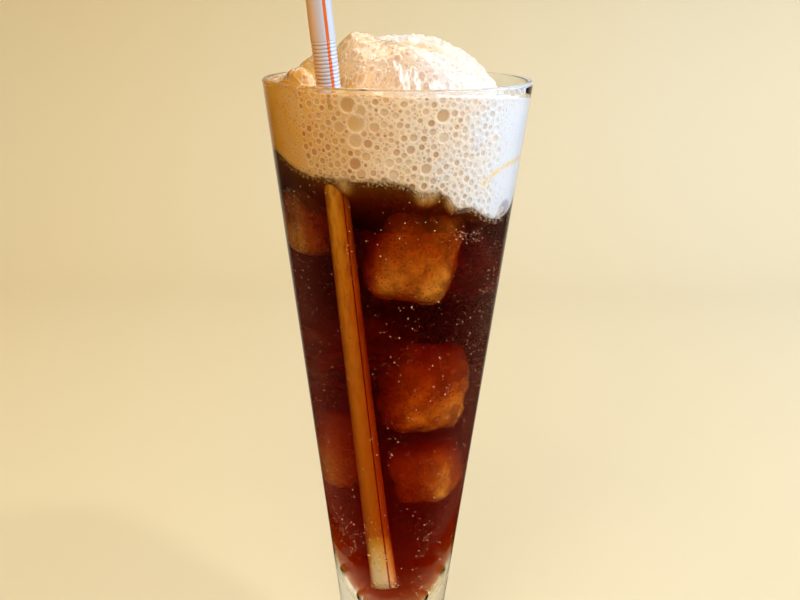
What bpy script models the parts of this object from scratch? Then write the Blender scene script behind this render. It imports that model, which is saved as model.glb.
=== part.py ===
# Ice cream float in its tall footed glass: glass, dark drink, foam, ice cream scoop and bendy straw.
# Metres, +Z up. The origin is the centre of the foot's flat underside.

import math

import bmesh
import bpy
from mathutils import Vector, noise


# Driving dimensions

GAP = 0.0003                    # clearance between pieces that touch

GLASS_HEIGHT = 0.200
RIM_RADIUS = 0.0375             # outside, at the rim
WALL_SLOPE = 0.1296             # outer radius lost for each metre of depth below the rim
RIM_WALL = 0.0017               # wall thickness at the rim
LOW_WALL = 0.0030               # wall thickness where the cavity starts to close
CAVITY_BEND = 0.076             # height where the cavity leaves the straight cone
CAVITY_FLOOR = 0.034            # lowest point of the cavity
CONE_END = 0.030                # height where the outer cone turns into the stem
STEM_RADIUS = 0.0085
STEM_HEIGHT = 0.0175
FOOT_RADIUS = 0.0325
FOOT_EDGE = 0.0032              # thickness of the foot's edge
FOOT_ROUND = 0.0008             # rounding of that edge, above and below
FOOT_FLAT = 0.15                # share of the foot's top that stays near its edge's height
FOOT_SWEEP = 3.2                # how late the foot's top sweeps up into the stem
FOOT_RINGS = 5
NECK_RINGS = 4
RIM_RINGS = 6                   # parts of the rounded rim
ROUND_SEGMENTS = 60             # sides of the glass, the drink and the foam
BEND_RINGS = 8                  # rings along the cavity's closing end

STRAW_RADIUS = 0.00315
STRAW_WALL = 0.0003
STRAW_LENGTH = 0.2061
STRAW_END = (-0.0020, -0.0066, 0.0486)      # centre of the lower end, in the drink
STRAW_AT_RIM = (-0.0174, -0.0266, 0.1995)   # where its centre line passes the rim
BELLOWS_START = 0.1527          # distance from the lower end
BELLOWS_RINGS = 13
BELLOWS_PITCH = 0.00095
BELLOWS_DEPTH = 0.0004
BELLOWS_CREST = 0.25            # where a ring of the bellows is widest, as a share of the pitch
BELLOWS_ROOT = 0.75             # where it is narrowest
STRAW_SEGMENTS = 24
STRAW_PLAIN_RING = 0.4          # a ring that splits the plain tube, as a share of its length
STRAW_SHARP = 50.0              # edges sharper than this many degrees stay sharp

SCOOP_CENTRE = (0.0020, 0.0020, 0.1875)
SCOOP_RADII = (0.0278, 0.0260, 0.0240)
SCOOP_CRAG = 0.0007             # depth of the scoop's rough grain
SCOOP_GRAIN = 150.0             # crags for each metre
SCOOP_FINE = 2.1                # a second grain, so many times finer
SCOOP_FINE_DEPTH = 0.5          # and its depth as a share of the first
SCOOP_SEGMENTS = 44
SCOOP_RINGS = 26
# the long groove that the scoop's lip leaves near its top
GROOVE_POINT = (0.0060, -0.0060)
GROOVE_WAY = (0.93, -0.37)
GROOVE_LENGTH = 0.0085
GROOVE_WIDTH = 0.0016
GROOVE_DEPTH = 0.0012

FOAM_LINE = 0.1765              # usual height of the foam's lower edge on the glass
# where that edge dips or climbs: angle, half width in degrees, change of height
FOAM_WAVES = [
    (-30.0, 32.0, -0.0125),
    (-165.0, 20.0, 0.0050),
    (-78.0, 6.0, -0.0018),
    (-60.0, 5.0, -0.0022),
    (35.0, 25.0, -0.0020),
    (110.0, 30.0, 0.0018),
]
FOAM_BED = 0.1592               # the foam's underside at the glass's axis, under the scoop
FOAM_BED_POWER = 2.2            # how steeply that bowl rises to the glass
FOAM_TOP = 0.1968               # height of the foam's top at the axis
FOAM_TILT = 0.0025              # rise to the high side and fall to the low side, at the wall
FOAM_HIGH_WAY = (-0.94, -0.34)
# lumps of foam that stand above that surface: x, y, radius, height
FOAM_LUMPS = [
    (-0.0250, -0.0185, 0.0050, 0.0045),
    (-0.0228, -0.0010, 0.0058, 0.0080),
    (-0.0060, -0.0290, 0.0060, 0.0012),
    (0.0080, -0.0270, 0.0055, 0.0010),
    (-0.0140, 0.0260, 0.0060, 0.0016),
]
FOAM_CRAG = 0.0005
FOAM_GRAIN = 170.0
# foam over the scoop's left front: its thickness, and the line in plan where it ends
SKIN = 0.0013
SKIN_SINK = 0.0030
SKIN_EDGE = -0.0070
SKIN_FADE = 0.0024
SKIN_WAY = (0.707, 0.707)
SKIN_LUMP = (-0.0130, -0.0035, 0.0052, 0.0032)
FOAM_RINGS = 14
FOAM_SIDE_RINGS = 4
BED_RINGS = 5                   # rings of the bowl where foam and drink meet

DRINK_RINGS = 3
BLANK_FACE = 0.999              # beyond this height a point lies on a blank's top or bottom


# Shapes that more than one piece follows

def outer_radius(z):
    """Outer radius of the glass's cone at a height."""
    return RIM_RADIUS - WALL_SLOPE * (GLASS_HEIGHT - z)


def cavity_radius(z):
    """Inner radius of the glass: a cone whose lower end closes as an ellipse."""
    share = min(1.0, (GLASS_HEIGHT - z) / (GLASS_HEIGHT - CAVITY_BEND))
    wall = RIM_WALL + (LOW_WALL - RIM_WALL) * share
    cone = outer_radius(z) - wall
    if z >= CAVITY_BEND:
        return cone
    drop = min(1.0, (CAVITY_BEND - z) / (CAVITY_BEND - CAVITY_FLOOR))
    return cone * math.sqrt(max(0.0, 1.0 - drop * drop))


def bump(distance, width):
    """A smooth hill, 1 in the middle and nearly 0 two widths away."""
    return math.exp(-(distance / width) ** 2)


def turn_between(angle, centre):
    """Difference of two angles in degrees, from -180 to 180."""
    return (angle - centre + 180.0) % 360.0 - 180.0


def foam_line(angle):
    """Height of the foam's lower edge on the glass at an angle in degrees."""
    height = FOAM_LINE
    for centre, width, change in FOAM_WAVES:
        height += change * bump(turn_between(angle, centre), width)
    return height


def foam_bed(share, angle):
    """Underside of the foam: a bowl under the scoop, up to the wavy edge at the wall."""
    return FOAM_BED + (foam_line(angle) - FOAM_BED) * share ** FOAM_BED_POWER


def scoop_top(x, y):
    """Height of the scoop's smooth dome, or its middle height outside it."""
    across = (x - SCOOP_CENTRE[0]) / SCOOP_RADII[0]
    along = (y - SCOOP_CENTRE[1]) / SCOOP_RADII[1]
    left = max(0.0, 1.0 - across * across - along * along)
    return SCOOP_CENTRE[2] + SCOOP_RADII[2] * math.sqrt(left)


def skin_cover(x, y):
    """How much foam lies on the scoop: 1 at its left front, 0 on its bare right and back."""
    past_edge = SKIN_EDGE - (x * SKIN_WAY[0] + y * SKIN_WAY[1])
    return 0.5 + 0.5 * math.tanh(past_edge / SKIN_FADE)


def foam_top(x, y):
    """Upper surface of the foam: a tilted, lumpy level that also climbs over the scoop's left front."""
    tilt = (x * FOAM_HIGH_WAY[0] + y * FOAM_HIGH_WAY[1]) / RIM_RADIUS
    level = FOAM_TOP + FOAM_TILT * tilt
    for lump_x, lump_y, radius, height in FOAM_LUMPS:
        level += height * bump(math.hypot(x - lump_x, y - lump_y), radius)
    level += FOAM_CRAG * noise.noise(Vector((x, y, 0.0)) * FOAM_GRAIN)
    cover = skin_cover(x, y)
    skin = scoop_top(x, y) + SKIN * cover - SKIN_SINK * (1.0 - cover)
    lump_x, lump_y, radius, height = SKIN_LUMP
    skin += height * bump(math.hypot(x - lump_x, y - lump_y), radius)
    return max(level, skin)


def straw_way():
    """Unit vector up the straw."""
    return (Vector(STRAW_AT_RIM) - Vector(STRAW_END)).normalized()


# Blender helpers

def material(name, colour, roughness, metallic=0.0, transmission=0.0):
    made = bpy.data.materials.new(name)
    made.use_nodes = True
    shader = made.node_tree.nodes["Principled BSDF"]
    shader.inputs["Base Color"].default_value = (*colour, 1.0)
    shader.inputs["Roughness"].default_value = roughness
    shader.inputs["Metallic"].default_value = metallic
    shader.inputs["Transmission Weight"].default_value = transmission
    return made


def turned(name, profile, segments, closed=False, diagonal="FIXED"):
    """Spin a profile of (radius, height) points round Z into a closed solid of triangles.

    Two solids that share a surface run their profiles opposite ways along it, so one of them
    takes the other diagonal of each four-sided face to match.
    """
    shape = bmesh.new()
    points = [shape.verts.new((radius, 0.0, height)) for radius, height in profile]
    edges = [shape.edges.new(pair) for pair in zip(points, points[1:])]
    if closed:
        edges.append(shape.edges.new((points[-1], points[0])))
    bmesh.ops.spin(
        shape,
        geom=points + edges,
        cent=(0.0, 0.0, 0.0),
        axis=(0.0, 0.0, 1.0),
        angle=2.0 * math.pi,
        steps=segments,
        use_merge=True,
    )
    bmesh.ops.triangulate(shape, faces=shape.faces, quad_method=diagonal)
    bmesh.ops.remove_doubles(shape, verts=shape.verts, dist=1e-7)
    return finished(name, shape)


def finished(name, shape):
    """Turn a bmesh into a smooth shaded object in the scene."""
    bmesh.ops.recalc_face_normals(shape, faces=shape.faces)
    mesh = bpy.data.meshes.new(name)
    shape.to_mesh(mesh)
    shape.free()
    mesh.shade_smooth()
    made = bpy.data.objects.new(name, mesh)
    bpy.context.scene.collection.objects.link(made)
    return made


def reshape(made, rule):
    """Move every vertex of an object by a rule from old place to new place."""
    for vertex in made.data.vertices:
        vertex.co = rule(vertex.co.copy())
    made.data.update()


def cut(made, cutter):
    """Subtract a hidden cutter from an object."""
    cutter.hide_render = True
    cutter.display_type = "WIRE"
    boolean = made.modifiers.new("cut " + cutter.name, "BOOLEAN")
    boolean.operation = "DIFFERENCE"
    boolean.solver = "EXACT"
    boolean.object = cutter


def steps(start, end, count):
    """Evenly spaced values from start to end, both included."""
    return [start + (end - start) * step / count for step in range(count + 1)]


# Glass

def glass():
    underside = [(0.0, 0.0), (FOOT_RADIUS - FOOT_ROUND, 0.0)]
    edge = [
        (FOOT_RADIUS, FOOT_ROUND),
        (FOOT_RADIUS, FOOT_EDGE - FOOT_ROUND),
        (FOOT_RADIUS - FOOT_ROUND, FOOT_EDGE),
    ]
    # the foot's top sweeps in to the stem, and the stem out again to the cone
    foot = []
    for share in steps(FOOT_FLAT, 1.0, FOOT_RINGS):
        radius = FOOT_RADIUS + (STEM_RADIUS - FOOT_RADIUS) * share
        foot.append((radius, FOOT_EDGE + (STEM_HEIGHT - FOOT_EDGE) * share ** FOOT_SWEEP))
    cone_radius = outer_radius(CONE_END)
    neck = []
    for share in steps(0.0, 1.0, NECK_RINGS)[1:]:
        ease = share * share * (3.0 - 2.0 * share)
        neck.append((
            STEM_RADIUS + (cone_radius - STEM_RADIUS) * ease,
            STEM_HEIGHT + (CONE_END - STEM_HEIGHT) * share,
        ))
    lip = RIM_WALL / 2.0
    rim_centre = RIM_RADIUS - lip
    outside = [(outer_radius(GLASS_HEIGHT - lip), GLASS_HEIGHT - lip)]
    rim = []
    for turn in steps(0.0, 180.0, RIM_RINGS)[1:-1]:
        angle = math.radians(turn)
        rim.append((rim_centre + lip * math.cos(angle), GLASS_HEIGHT - lip + lip * math.sin(angle)))
    inside = [(cavity_radius(z), z) for z in (GLASS_HEIGHT - lip, CAVITY_BEND)]
    floor = []
    for turn in steps(0.0, 90.0, BEND_RINGS)[1:]:
        z = CAVITY_BEND - (CAVITY_BEND - CAVITY_FLOOR) * math.sin(math.radians(turn))
        floor.append((cavity_radius(z), z))
    floor[-1] = (0.0, CAVITY_FLOOR)
    profile = underside + edge + foot + neck + outside + rim + inside + floor
    made = turned("glass", profile, ROUND_SEGMENTS)
    made.data.materials.append(material("glass", (0.93, 0.96, 0.96), 0.02, 0.0, 1.0))
    return made


# Straw, a thin tube with a bellows in its upper part

def straw():
    bellows_end = BELLOWS_START + BELLOWS_RINGS * BELLOWS_PITCH
    plain_ring = STRAW_LENGTH * STRAW_PLAIN_RING
    outside = [(STRAW_RADIUS, 0.0), (STRAW_RADIUS, plain_ring)]
    for ring in range(BELLOWS_RINGS):
        ring_start = BELLOWS_START + ring * BELLOWS_PITCH
        outside.append((STRAW_RADIUS, ring_start + BELLOWS_PITCH * BELLOWS_CREST))
        outside.append((STRAW_RADIUS - BELLOWS_DEPTH, ring_start + BELLOWS_PITCH * BELLOWS_ROOT))
    outside.append((STRAW_RADIUS, bellows_end + BELLOWS_PITCH * BELLOWS_CREST))
    outside.append((STRAW_RADIUS, STRAW_LENGTH))
    bore = STRAW_RADIUS - STRAW_WALL
    narrow = bore - BELLOWS_DEPTH
    inside = [
        (bore, STRAW_LENGTH),
        (bore, bellows_end + BELLOWS_PITCH),
        (narrow, bellows_end),
        (narrow, BELLOWS_START),
        (bore, BELLOWS_START - BELLOWS_PITCH),
        (bore, plain_ring),
        (bore, 0.0),
    ]
    made = turned("straw", outside + inside, STRAW_SEGMENTS, closed=True)
    made.data.set_sharp_from_angle(angle=math.radians(STRAW_SHARP))
    made.data.materials.append(material("straw", (0.95, 0.93, 0.94), 0.35))
    place_on_straw_line(made)
    return made


def place_on_straw_line(made):
    """Stand an object that was made round Z on the straw's own leaning line."""
    made.location = STRAW_END
    made.rotation_mode = "QUATERNION"
    made.rotation_quaternion = straw_way().to_track_quat("Z", "Y")


def straw_cutter(name):
    """The room that the straw takes in foam and drink, with the gap round it and under its end."""
    radius = STRAW_RADIUS + GAP
    top = STRAW_LENGTH + GAP
    made = turned(name, [(0.0, -GAP), (radius, -GAP), (radius, top), (0.0, top)], STRAW_SEGMENTS)
    place_on_straw_line(made)
    return made


# Scoop of ice cream

def scoop_point(way, grow):
    """Surface point of the scoop along a unit vector from its centre, grown by a margin."""
    smooth = Vector(way[axis] * (SCOOP_RADII[axis] + grow) for axis in range(3))
    place = smooth + Vector(SCOOP_CENTRE)
    crag = noise.noise(place * SCOOP_GRAIN)
    crag += SCOOP_FINE_DEPTH * noise.noise(place * SCOOP_GRAIN * SCOOP_FINE)
    sink = SCOOP_CRAG * crag * (1.0 - skin_cover(place.x, place.y))
    from_groove = Vector((place.x - GROOVE_POINT[0], place.y - GROOVE_POINT[1]))
    along = from_groove.dot(Vector(GROOVE_WAY))
    across = from_groove.dot(Vector((-GROOVE_WAY[1], GROOVE_WAY[0])))
    if way[2] > 0.0:
        sink -= GROOVE_DEPTH * bump(along, GROOVE_LENGTH) * bump(across, GROOVE_WIDTH)
    return place + Vector(way) * sink


def scoop_body(name, grow):
    shape = bmesh.new()
    bmesh.ops.create_uvsphere(shape, u_segments=SCOOP_SEGMENTS, v_segments=SCOOP_RINGS, radius=1.0)
    made = finished(name, shape)
    reshape(made, lambda way: scoop_point(way.normalized(), grow))
    return made


def ice_cream():
    made = scoop_body("ice_cream", 0.0)
    made.data.materials.append(material("ice cream", (0.97, 0.94, 0.86), 0.55))
    return made


# Foam, a bowl that wraps the scoop and fills the glass above the drink

def foam_place(point):
    """Real place of a point of the foam's turned blank.

    The blank is a drum of radius 1 from height -1 to 1: its top becomes the lumpy surface, its
    side the glass's cone and its bottom the bowl over the drink.
    """
    share = math.hypot(point.x, point.y)
    angle = math.degrees(math.atan2(point.y, point.x))
    way = Vector((point.x, point.y)) / max(share, 1e-9)
    if point.z < -BLANK_FACE:
        height = foam_bed(share, angle)
        radius = share * (cavity_radius(foam_line(angle)) - GAP)
        return Vector((way.x * radius, way.y * radius, height))
    edge = way * (cavity_radius(FOAM_TOP) - GAP)
    edge_height = foam_top(edge.x, edge.y)
    if point.z > BLANK_FACE:
        radius = share * (cavity_radius(edge_height) - GAP)
        return Vector((way.x * radius, way.y * radius, foam_top(way.x * radius, way.y * radius)))
    low = foam_line(angle)
    height = low + (edge_height - low) * (point.z + 1.0) / 2.0
    radius = cavity_radius(height) - GAP
    return Vector((way.x * radius, way.y * radius, height))


def foam():
    top = [(share, 1.0) for share in steps(0.0, 1.0, FOAM_RINGS)]
    side = [(1.0, height) for height in steps(1.0, -1.0, FOAM_SIDE_RINGS)[1:-1]]
    bed = [(share, -1.0) for share in steps(1.0, 0.0, BED_RINGS)]
    made = turned("foam", top + side + bed, ROUND_SEGMENTS)
    reshape(made, foam_place)
    made.data.materials.append(material("foam", (0.86, 0.68, 0.47), 0.5))
    return made


# Drink, from the cavity's floor up to the foam

def drink_place(point):
    """Real place of a point of the drink's turned blank, as in foam_place."""
    share = math.hypot(point.x, point.y)
    angle = math.degrees(math.atan2(point.y, point.x))
    way = Vector((point.x, point.y)) / max(share, 1e-9)
    edge_height = foam_line(angle) - GAP
    if point.z > BLANK_FACE:
        radius = share * (cavity_radius(edge_height) - GAP)
        return Vector((way.x * radius, way.y * radius, foam_bed(share, angle) - GAP))
    if point.z >= 0.0:
        height = CAVITY_BEND + (edge_height - CAVITY_BEND) * point.z
    else:
        height = CAVITY_BEND + (CAVITY_BEND - CAVITY_FLOOR - GAP) * math.sin(math.radians(90.0 * point.z))
    radius = max(0.0, cavity_radius(height) - GAP) if point.z > -BLANK_FACE else 0.0
    return Vector((way.x * radius, way.y * radius, height))


def drink():
    top = [(share, 1.0) for share in steps(0.0, 1.0, BED_RINGS)]
    side = [(1.0, height) for height in steps(1.0, 0.0, DRINK_RINGS)[1:]]
    bend = [(1.0, height) for height in steps(0.0, -1.0, BEND_RINGS)[1:-1]]
    made = turned("drink", top + side + bend + [(0.0, -1.0)], ROUND_SEGMENTS, diagonal="ALTERNATE")
    reshape(made, drink_place)
    made.data.materials.append(material("drink", (0.12, 0.03, 0.01), 0.05))
    return made


# The whole float

def build():
    for old in list(bpy.data.objects):
        bpy.data.objects.remove(old)
    glass()
    straw()
    ice_cream()
    made_foam = foam()
    cut(made_foam, scoop_body("scoop_room", GAP))
    room = straw_cutter("straw_room")
    cut(made_foam, room)
    cut(drink(), room)


build()
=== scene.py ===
import math

import bpy
import numpy as np
from mathutils import Matrix, Vector


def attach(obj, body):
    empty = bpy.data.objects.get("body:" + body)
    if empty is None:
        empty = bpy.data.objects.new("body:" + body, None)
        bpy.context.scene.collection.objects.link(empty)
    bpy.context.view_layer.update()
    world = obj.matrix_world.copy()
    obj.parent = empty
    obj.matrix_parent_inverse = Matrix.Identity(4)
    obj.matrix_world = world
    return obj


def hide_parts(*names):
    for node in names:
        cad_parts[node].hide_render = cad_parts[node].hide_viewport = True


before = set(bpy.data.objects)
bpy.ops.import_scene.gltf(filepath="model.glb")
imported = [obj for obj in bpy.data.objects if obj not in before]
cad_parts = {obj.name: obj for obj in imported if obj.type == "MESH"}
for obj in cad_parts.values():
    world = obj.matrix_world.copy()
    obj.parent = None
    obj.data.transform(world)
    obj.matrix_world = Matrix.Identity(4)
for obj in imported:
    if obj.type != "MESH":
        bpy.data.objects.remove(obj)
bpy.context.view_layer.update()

print("frame loaded:", ", ".join(sorted(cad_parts)))


# Sizes in metres, as in the solids. Only the foam's border on the scoop and the furrow beside it
# lie 2 to 3 mm off theirs, and foamClimb is the scene's own.

glassShape = {
    "height": 0.200,
    "rimRadius": 0.0375,
    "slope": 0.1296,  # outer radius lost for each metre down
    "rimWall": 0.0017,
    "lowWall": 0.0030,
    "bend": 0.076,  # where the cavity leaves its straight cone
    "floor": 0.034,  # lowest point of the cavity
    "coneEnd": 0.030,
    "stemRadius": 0.0085,
    "stemHeight": 0.0175,
    "footRadius": 0.0325,
    "footEdge": 0.0032,
    "sides": 160,
}

foamShape = {
    "line": 0.1765,  # usual height of the foam's lower edge on the glass
    "waves": [  # angle, half width in degrees, change of height
        (-30.0, 32.0, -0.0125), (-165.0, 20.0, 0.0050), (-78.0, 6.0, -0.0018),
        (-60.0, 5.0, -0.0022), (35.0, 25.0, -0.0020), (110.0, 30.0, 0.0018),
    ],
    "bed": 0.1592,  # underside of the foam on the axis
    "bedPower": 2.2,
    "top": 0.1968,
    "tilt": 0.0025,
    "highWay": (-0.94, -0.34),
    "lumps": [  # x, y, radius, height
        (-0.0250, -0.0185, 0.0050, 0.0045),
        (-0.0228, -0.0010, 0.0058, 0.0080),
        (-0.0060, -0.0290, 0.0060, 0.0012),
        (0.0080, -0.0270, 0.0055, 0.0010),
        (-0.0140, 0.0260, 0.0060, 0.0016),
    ],
    "skin": 0.0013,  # foam over the scoop's left front
    "skinSink": 0.0030,
    "skinEdge": -0.0046,
    "skinBend": (0.0085, 0.68),  # past this x the edge swings right by this slope
    "skinFade": 0.0024,
    "skinWay": (0.707, 0.707),
    "skinLump": (-0.0130, -0.0035, 0.0052, 0.0032),
    "climb": (-45.0, 50.0, 0.0022),  # where froth creeps up the glass: angle, half width, height
}

scoopShape = {
    "centre": (0.0020, 0.0020, 0.1875),
    "radii": (0.0278, 0.0260, 0.0240),
    "groovePoint": (0.0038, -0.0070),
    "grooveWay": (0.97, -0.24),
    "grooveLength": 0.0072,
    "grooveWidth": 0.0016,
    "grooveDepth": 0.0012,
}

strawShape = {
    "radius": 0.00315,
    "wall": 0.0003,
    "length": 0.2061,
    "end": (-0.0020, -0.0066, 0.0486),  # its lower end
    "atRim": (-0.0174, -0.0266, 0.1995),
    "bellowsStart": 0.1527,
    "rings": 13,
    "pitch": 0.00095,
    "depth": 0.0004,
}


def outerRadius(z):
    # straight cone: rim radius less slope times depth below the rim
    return glassShape["rimRadius"] - glassShape["slope"] * (glassShape["height"] - z)


def cavityRadius(z):
    # the cone less the wall, times the height of a quarter ellipse below the bend
    share = unit((glassShape["height"] - z) / (glassShape["height"] - glassShape["bend"]))
    wall = glassShape["rimWall"] + (glassShape["lowWall"] - glassShape["rimWall"]) * share
    drop = unit((glassShape["bend"] - z) / (glassShape["bend"] - glassShape["floor"]))
    return (outerRadius(z) - wall) * np.sqrt(1.0 - drop ** 2)


def hill(distance, width):
    # exp of minus the square of distance over width
    return np.exp(-(distance / width) ** 2)


def foamLine(angle):
    # the usual height plus one hill for each wave, by angle in radians round the glass
    degrees = np.degrees(angle)
    height = np.full_like(degrees, foamShape["line"])
    for centre, width, change in foamShape["waves"]:
        away = (degrees - centre + 180.0) % 360.0 - 180.0
        height = height + change * hill(away, width)
    return height


def foamBed(share, angle):
    # a bowl: bed height plus the rise to the line times share to a power
    return foamShape["bed"] + (foamLine(angle) - foamShape["bed"]) * share ** foamShape["bedPower"]


def scoopTop(x, y):
    # upper half of an ellipsoid, held at its middle height outside it
    cx, cy, cz = scoopShape["centre"]
    rx, ry, rz = scoopShape["radii"]
    inside = np.clip(1.0 - ((x - cx) / rx) ** 2 - ((y - cy) / ry) ** 2, 0.0, None)
    return cz + rz * np.sqrt(inside)


def skinCover(x, y):
    # 1 on the scoop's left front and 0 past a bent line in plan, eased by tanh
    start, slope = foamShape["skinBend"]
    edge = foamShape["skinEdge"] + slope * np.maximum(x - start, 0.0)
    past = edge - (x * foamShape["skinWay"][0] + y * foamShape["skinWay"][1])
    return 0.5 + 0.5 * np.tanh(past / foamShape["skinFade"])


def foamClimb(angle):
    # one hill by angle in radians, seen as a thin ring of froth against the glass
    centre, width, height = foamShape["climb"]
    return height * hill(np.degrees(angle) - centre, width)


def foamTop(x, y):
    # the higher of a tilted level with lumps and the scoop's dome with its skin of foam
    lean = (x * foamShape["highWay"][0] + y * foamShape["highWay"][1]) / glassShape["rimRadius"]
    level = foamShape["top"] + foamShape["tilt"] * lean
    for lumpX, lumpY, radius, height in foamShape["lumps"]:
        level = level + height * hill(np.hypot(x - lumpX, y - lumpY), radius)
    cover = skinCover(x, y)
    skin = scoopTop(x, y) + foamShape["skin"] * cover - foamShape["skinSink"] * (1.0 - cover)
    lumpX, lumpY, radius, height = foamShape["skinLump"]
    skin = skin + height * hill(np.hypot(x - lumpX, y - lumpY), radius)
    return np.maximum(level, skin)


# Making meshes from arrays

def latticeNoise(points, pitch, seed):
    # random heights from -1 to 1 at the corners of a cubic lattice, blended by 3t^2 - 2t^3
    scaled = np.asarray(points) / pitch
    cell = np.floor(scaled).astype(np.int64)
    part = scaled - cell
    ease = part * part * (3.0 - 2.0 * part)
    total = np.zeros(scaled.shape[:-1])
    for corner in range(8):
        side = np.array([corner & 1, corner >> 1 & 1, corner >> 2 & 1])
        key = (cell + side) @ np.array([73856093, 19349663, 83492791]) + seed * 2654435
        key = ((key ^ (key >> 13)) * 1274126177) & 0x7FFFFFFF  # large odd numbers that mix the bits
        height = ((key ^ (key >> 16)) & 0xFFFF) / 32767.5 - 1.0
        total += height * np.prod(np.where(side == 1, ease, 1.0 - ease), axis=-1)
    return total


def layeredNoise(points, pitch, layers, seed):
    # lattice noise plus ever finer copies, each half as wide and half as high
    total = 0.0
    for layer in range(layers):
        total = total + latticeNoise(points, pitch / 2 ** layer, seed + layer) / 2 ** layer
    return total


def meshPiece(name, points, quads, tris=np.zeros((0, 3), int)):
    # arrays of corners and of corner numbers become one smooth mesh object
    mesh = bpy.data.meshes.new(name)
    mesh.vertices.add(len(points))
    mesh.vertices.foreach_set("co", np.asarray(points, np.float32).ravel())
    corners = np.concatenate([quads.ravel(), tris.ravel()]).astype(np.int32)
    mesh.loops.add(len(corners))
    mesh.loops.foreach_set("vertex_index", corners)
    mesh.polygons.add(len(quads) + len(tris))
    starts = np.concatenate([np.arange(len(quads)) * 4, len(quads) * 4 + np.arange(len(tris)) * 3])
    mesh.polygons.foreach_set("loop_start", starts.astype(np.int32))
    mesh.update(calc_edges=True)
    mesh.validate()
    mesh.shade_smooth()
    piece = bpy.data.objects.new(name, mesh)
    bpy.context.scene.collection.objects.link(piece)
    return piece


def wrapGrid(rows, looped=False):
    # rings of points, each joined to the next and to itself; looped, the last joins the first,
    # and if not, a fan shuts each end
    rings, sides = rows.shape[:2]
    number = np.arange(rings * sides).reshape(rings, sides)
    if looped:
        number = np.vstack([number, number[:1]])
    following = np.roll(number, -1, axis=1)
    quads = np.stack([number[:-1], number[1:], following[1:], following[:-1]], axis=-1).reshape(-1, 4)
    points = rows.reshape(-1, 3)
    if looped:
        return points, quads, np.zeros((0, 3), int)
    points = np.vstack([points, rows[0].mean(axis=0), rows[-1].mean(axis=0)])
    first, last = np.full(sides, len(points) - 2), np.full(sides, len(points) - 1)
    startFan = np.stack([first, number[0], following[0]], axis=-1)
    endFan = np.stack([last, following[-1], number[-1]], axis=-1)
    return points, quads, np.concatenate([startFan, endFan])


def joined(shapes):
    # several (points, quads, tris) sets as one
    points, quads, tris, count = [], [], [], 0
    for shape in shapes:
        points.append(shape[0])
        quads.append(shape[1] + count)
        tris.append(shape[2] + count)
        count += len(shape[0])
    return np.concatenate(points), np.concatenate(quads), np.concatenate(tris)


def spreadSizes(random, look, count=None):
    # most of them small: the smallest, times the ratio of both ends to a power of a random share
    share = random.random(count or look["count"]) ** look["skew"]
    return look["smallest"] * (look["largest"] / look["smallest"]) ** share


def ringRows(radius, height, angle):
    # points at radius and height round Z; each argument broadcasts to rings by sides
    radius, height, angle = np.broadcast_arrays(radius, height, angle)
    return np.stack([radius * np.cos(angle), radius * np.sin(angle), height], axis=-1)


def roundAngles(sides):
    # even steps from minus a half turn to a half turn
    return np.arange(sides) * 2.0 * math.pi / sides - math.pi


def ballWays(sides, rings):
    # ways out from a centre: a turn round Z by an angle down from it
    down = np.linspace(0.0, math.pi, rings)[1:-1, None]
    return ringRows(np.sin(down), np.cos(down), roundAngles(sides)[None, :])


def unit(values):
    # held between 0 and 1
    return np.clip(values, 0.0, 1.0)


def makePiece(name, shape, material, slot, node=None, **painted):
    # a mesh on the one body; each painted set holds a number a vertex, which materials read by name
    piece = meshPiece(name, *shape)
    for layer, values in painted.items():
        full = np.zeros(len(piece.data.vertices), np.float32)
        full[:len(values)] = values
        piece.data.attributes.new(layer, "FLOAT", "POINT").data.foreach_set("value", full)
    piece.data.materials.append(material)
    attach(piece, "root")
    if node:
        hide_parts(node)
    return piece


# Making materials

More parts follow.
